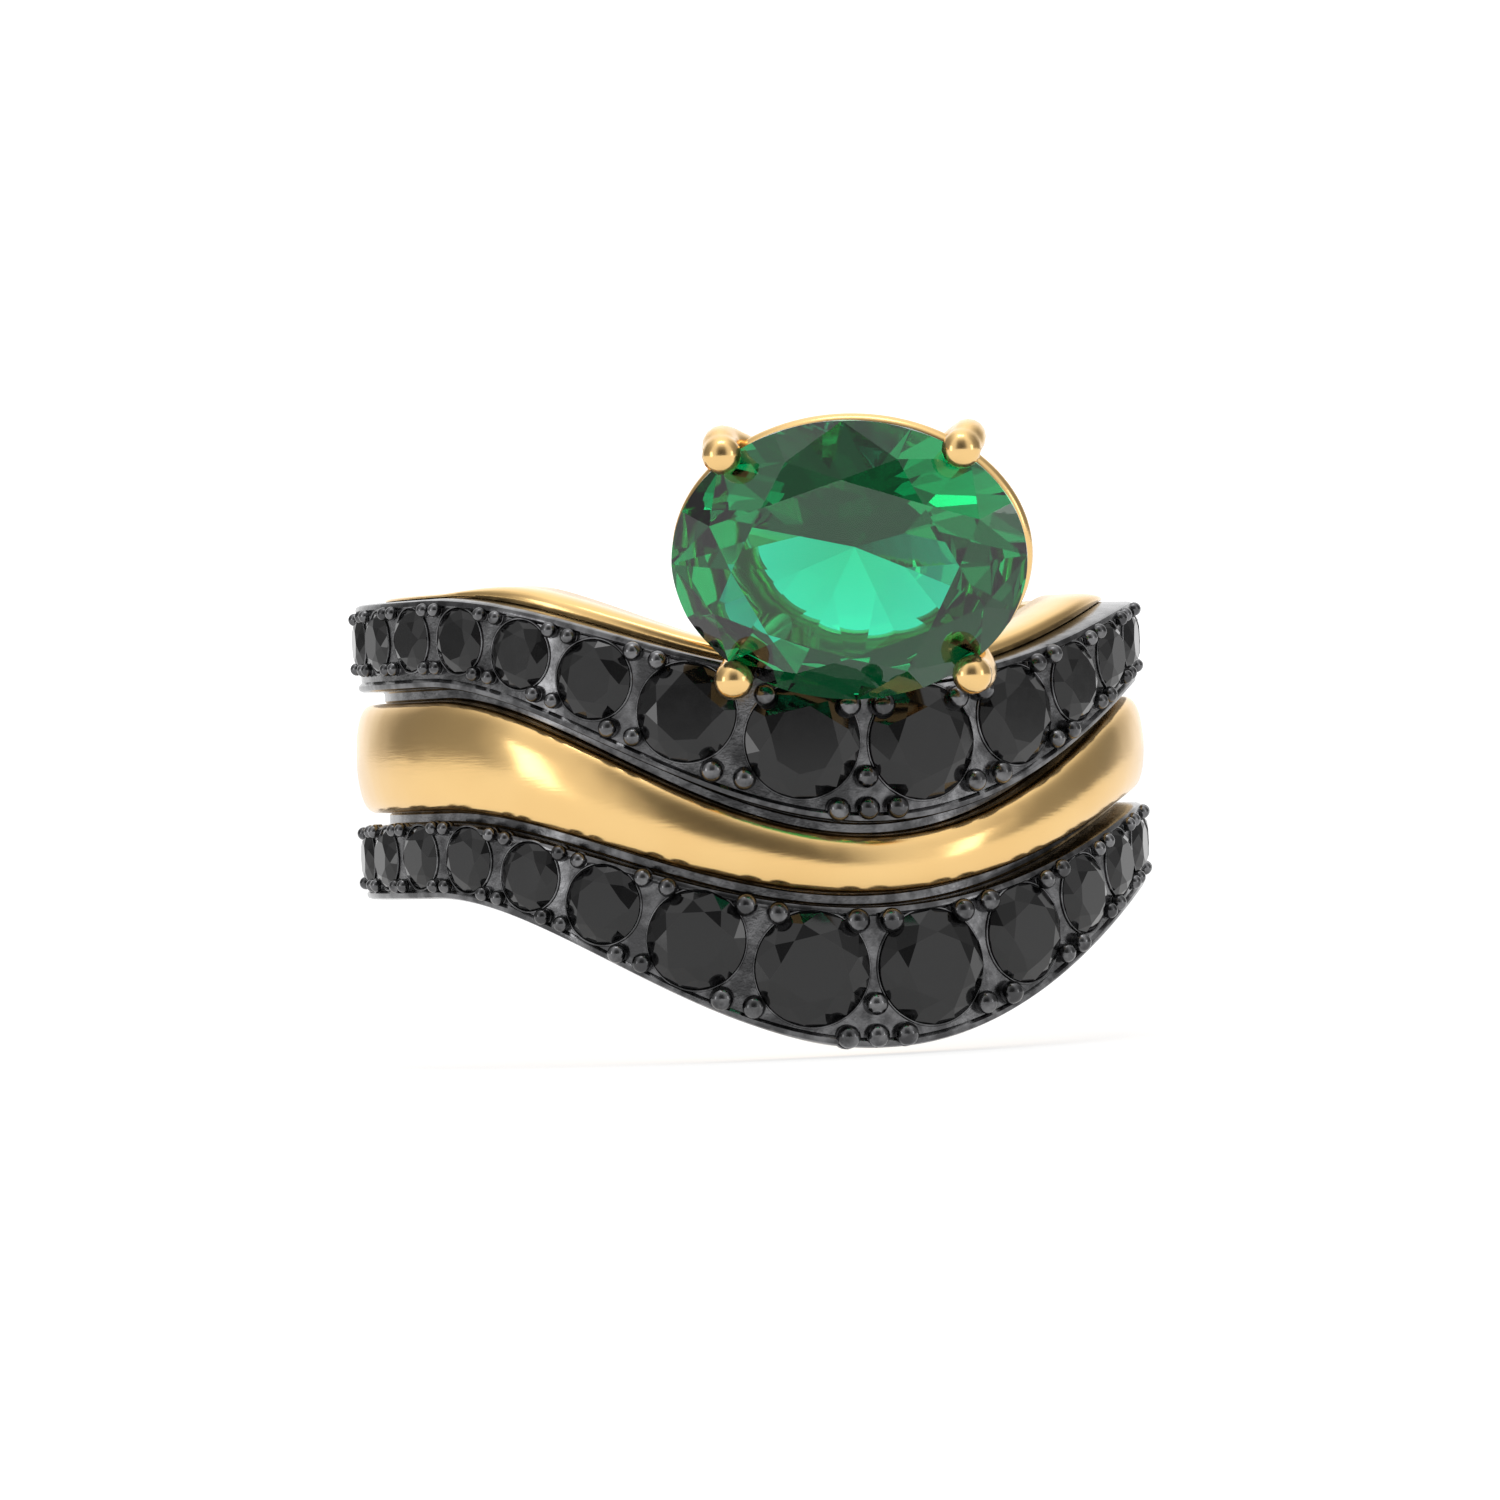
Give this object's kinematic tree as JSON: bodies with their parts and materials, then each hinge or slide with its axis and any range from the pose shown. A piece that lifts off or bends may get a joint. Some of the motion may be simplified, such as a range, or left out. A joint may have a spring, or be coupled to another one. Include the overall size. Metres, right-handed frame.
{
  "type": "cocktail ring",
  "caption": "Gold cocktail ring with two waved rails of black round stones and an oval green stone in a claw head.",
  "frame": {"origin": "on the finger axis, level with the middle of the plain back shank", "axes": "+Z along the finger axis towards the side with the oval stone, -Y towards the front of the ring"},
  "size_m": [0.0232, 0.0259, 0.0179],
  "materials": {
    "polished_gold": "polished yellow gold",
    "black_rhodium": "polished black rhodium plate",
    "black_stone": "polished opaque black facets",
    "green_stone": "polished clear green facets"
  },
  "bodies": {
    "root": {"ring_shank": "polished_gold", "centre_band": "polished_gold", "upper_pave_rail": "black_rhodium", "lower_pave_rail": "black_rhodium", "upper_stone_01": "black_stone", "upper_stone_02": "black_stone", "upper_stone_03": "black_stone", "upper_stone_04": "black_stone", "upper_stone_05": "black_stone", "upper_stone_06": "black_stone", "upper_stone_07": "black_stone", "upper_stone_08": "black_stone", "upper_stone_09": "black_stone", "upper_stone_10": "black_stone", "upper_stone_11": "black_stone", "upper_stone_12": "black_stone", "upper_stone_13": "black_stone", "upper_stone_14": "black_stone", "upper_stone_15": "black_stone", "upper_stone_16": "black_stone", "lower_stone_01": "black_stone", "lower_stone_02": "black_stone", "lower_stone_03": "black_stone", "lower_stone_04": "black_stone", "lower_stone_05": "black_stone", "lower_stone_06": "black_stone", "lower_stone_07": "black_stone", "lower_stone_08": "black_stone", "lower_stone_09": "black_stone", "lower_stone_10": "black_stone", "lower_stone_11": "black_stone", "lower_stone_12": "black_stone", "lower_stone_13": "black_stone", "lower_stone_14": "black_stone", "lower_stone_15": "black_stone", "lower_stone_16": "black_stone", "upper_rail_top_beads": "black_rhodium", "upper_rail_bottom_beads": "black_rhodium", "lower_rail_top_beads": "black_rhodium", "lower_rail_bottom_beads": "black_rhodium", "head_gallery_wire": "polished_gold", "head_base_wire": "polished_gold", "head_strut_left": "polished_gold", "head_strut_right": "polished_gold", "claw_top_left": "polished_gold", "claw_top_right": "polished_gold", "claw_bottom_left": "polished_gold", "claw_bottom_right": "polished_gold", "centre_stone": "green_stone"}
  },
  "joints": []
}
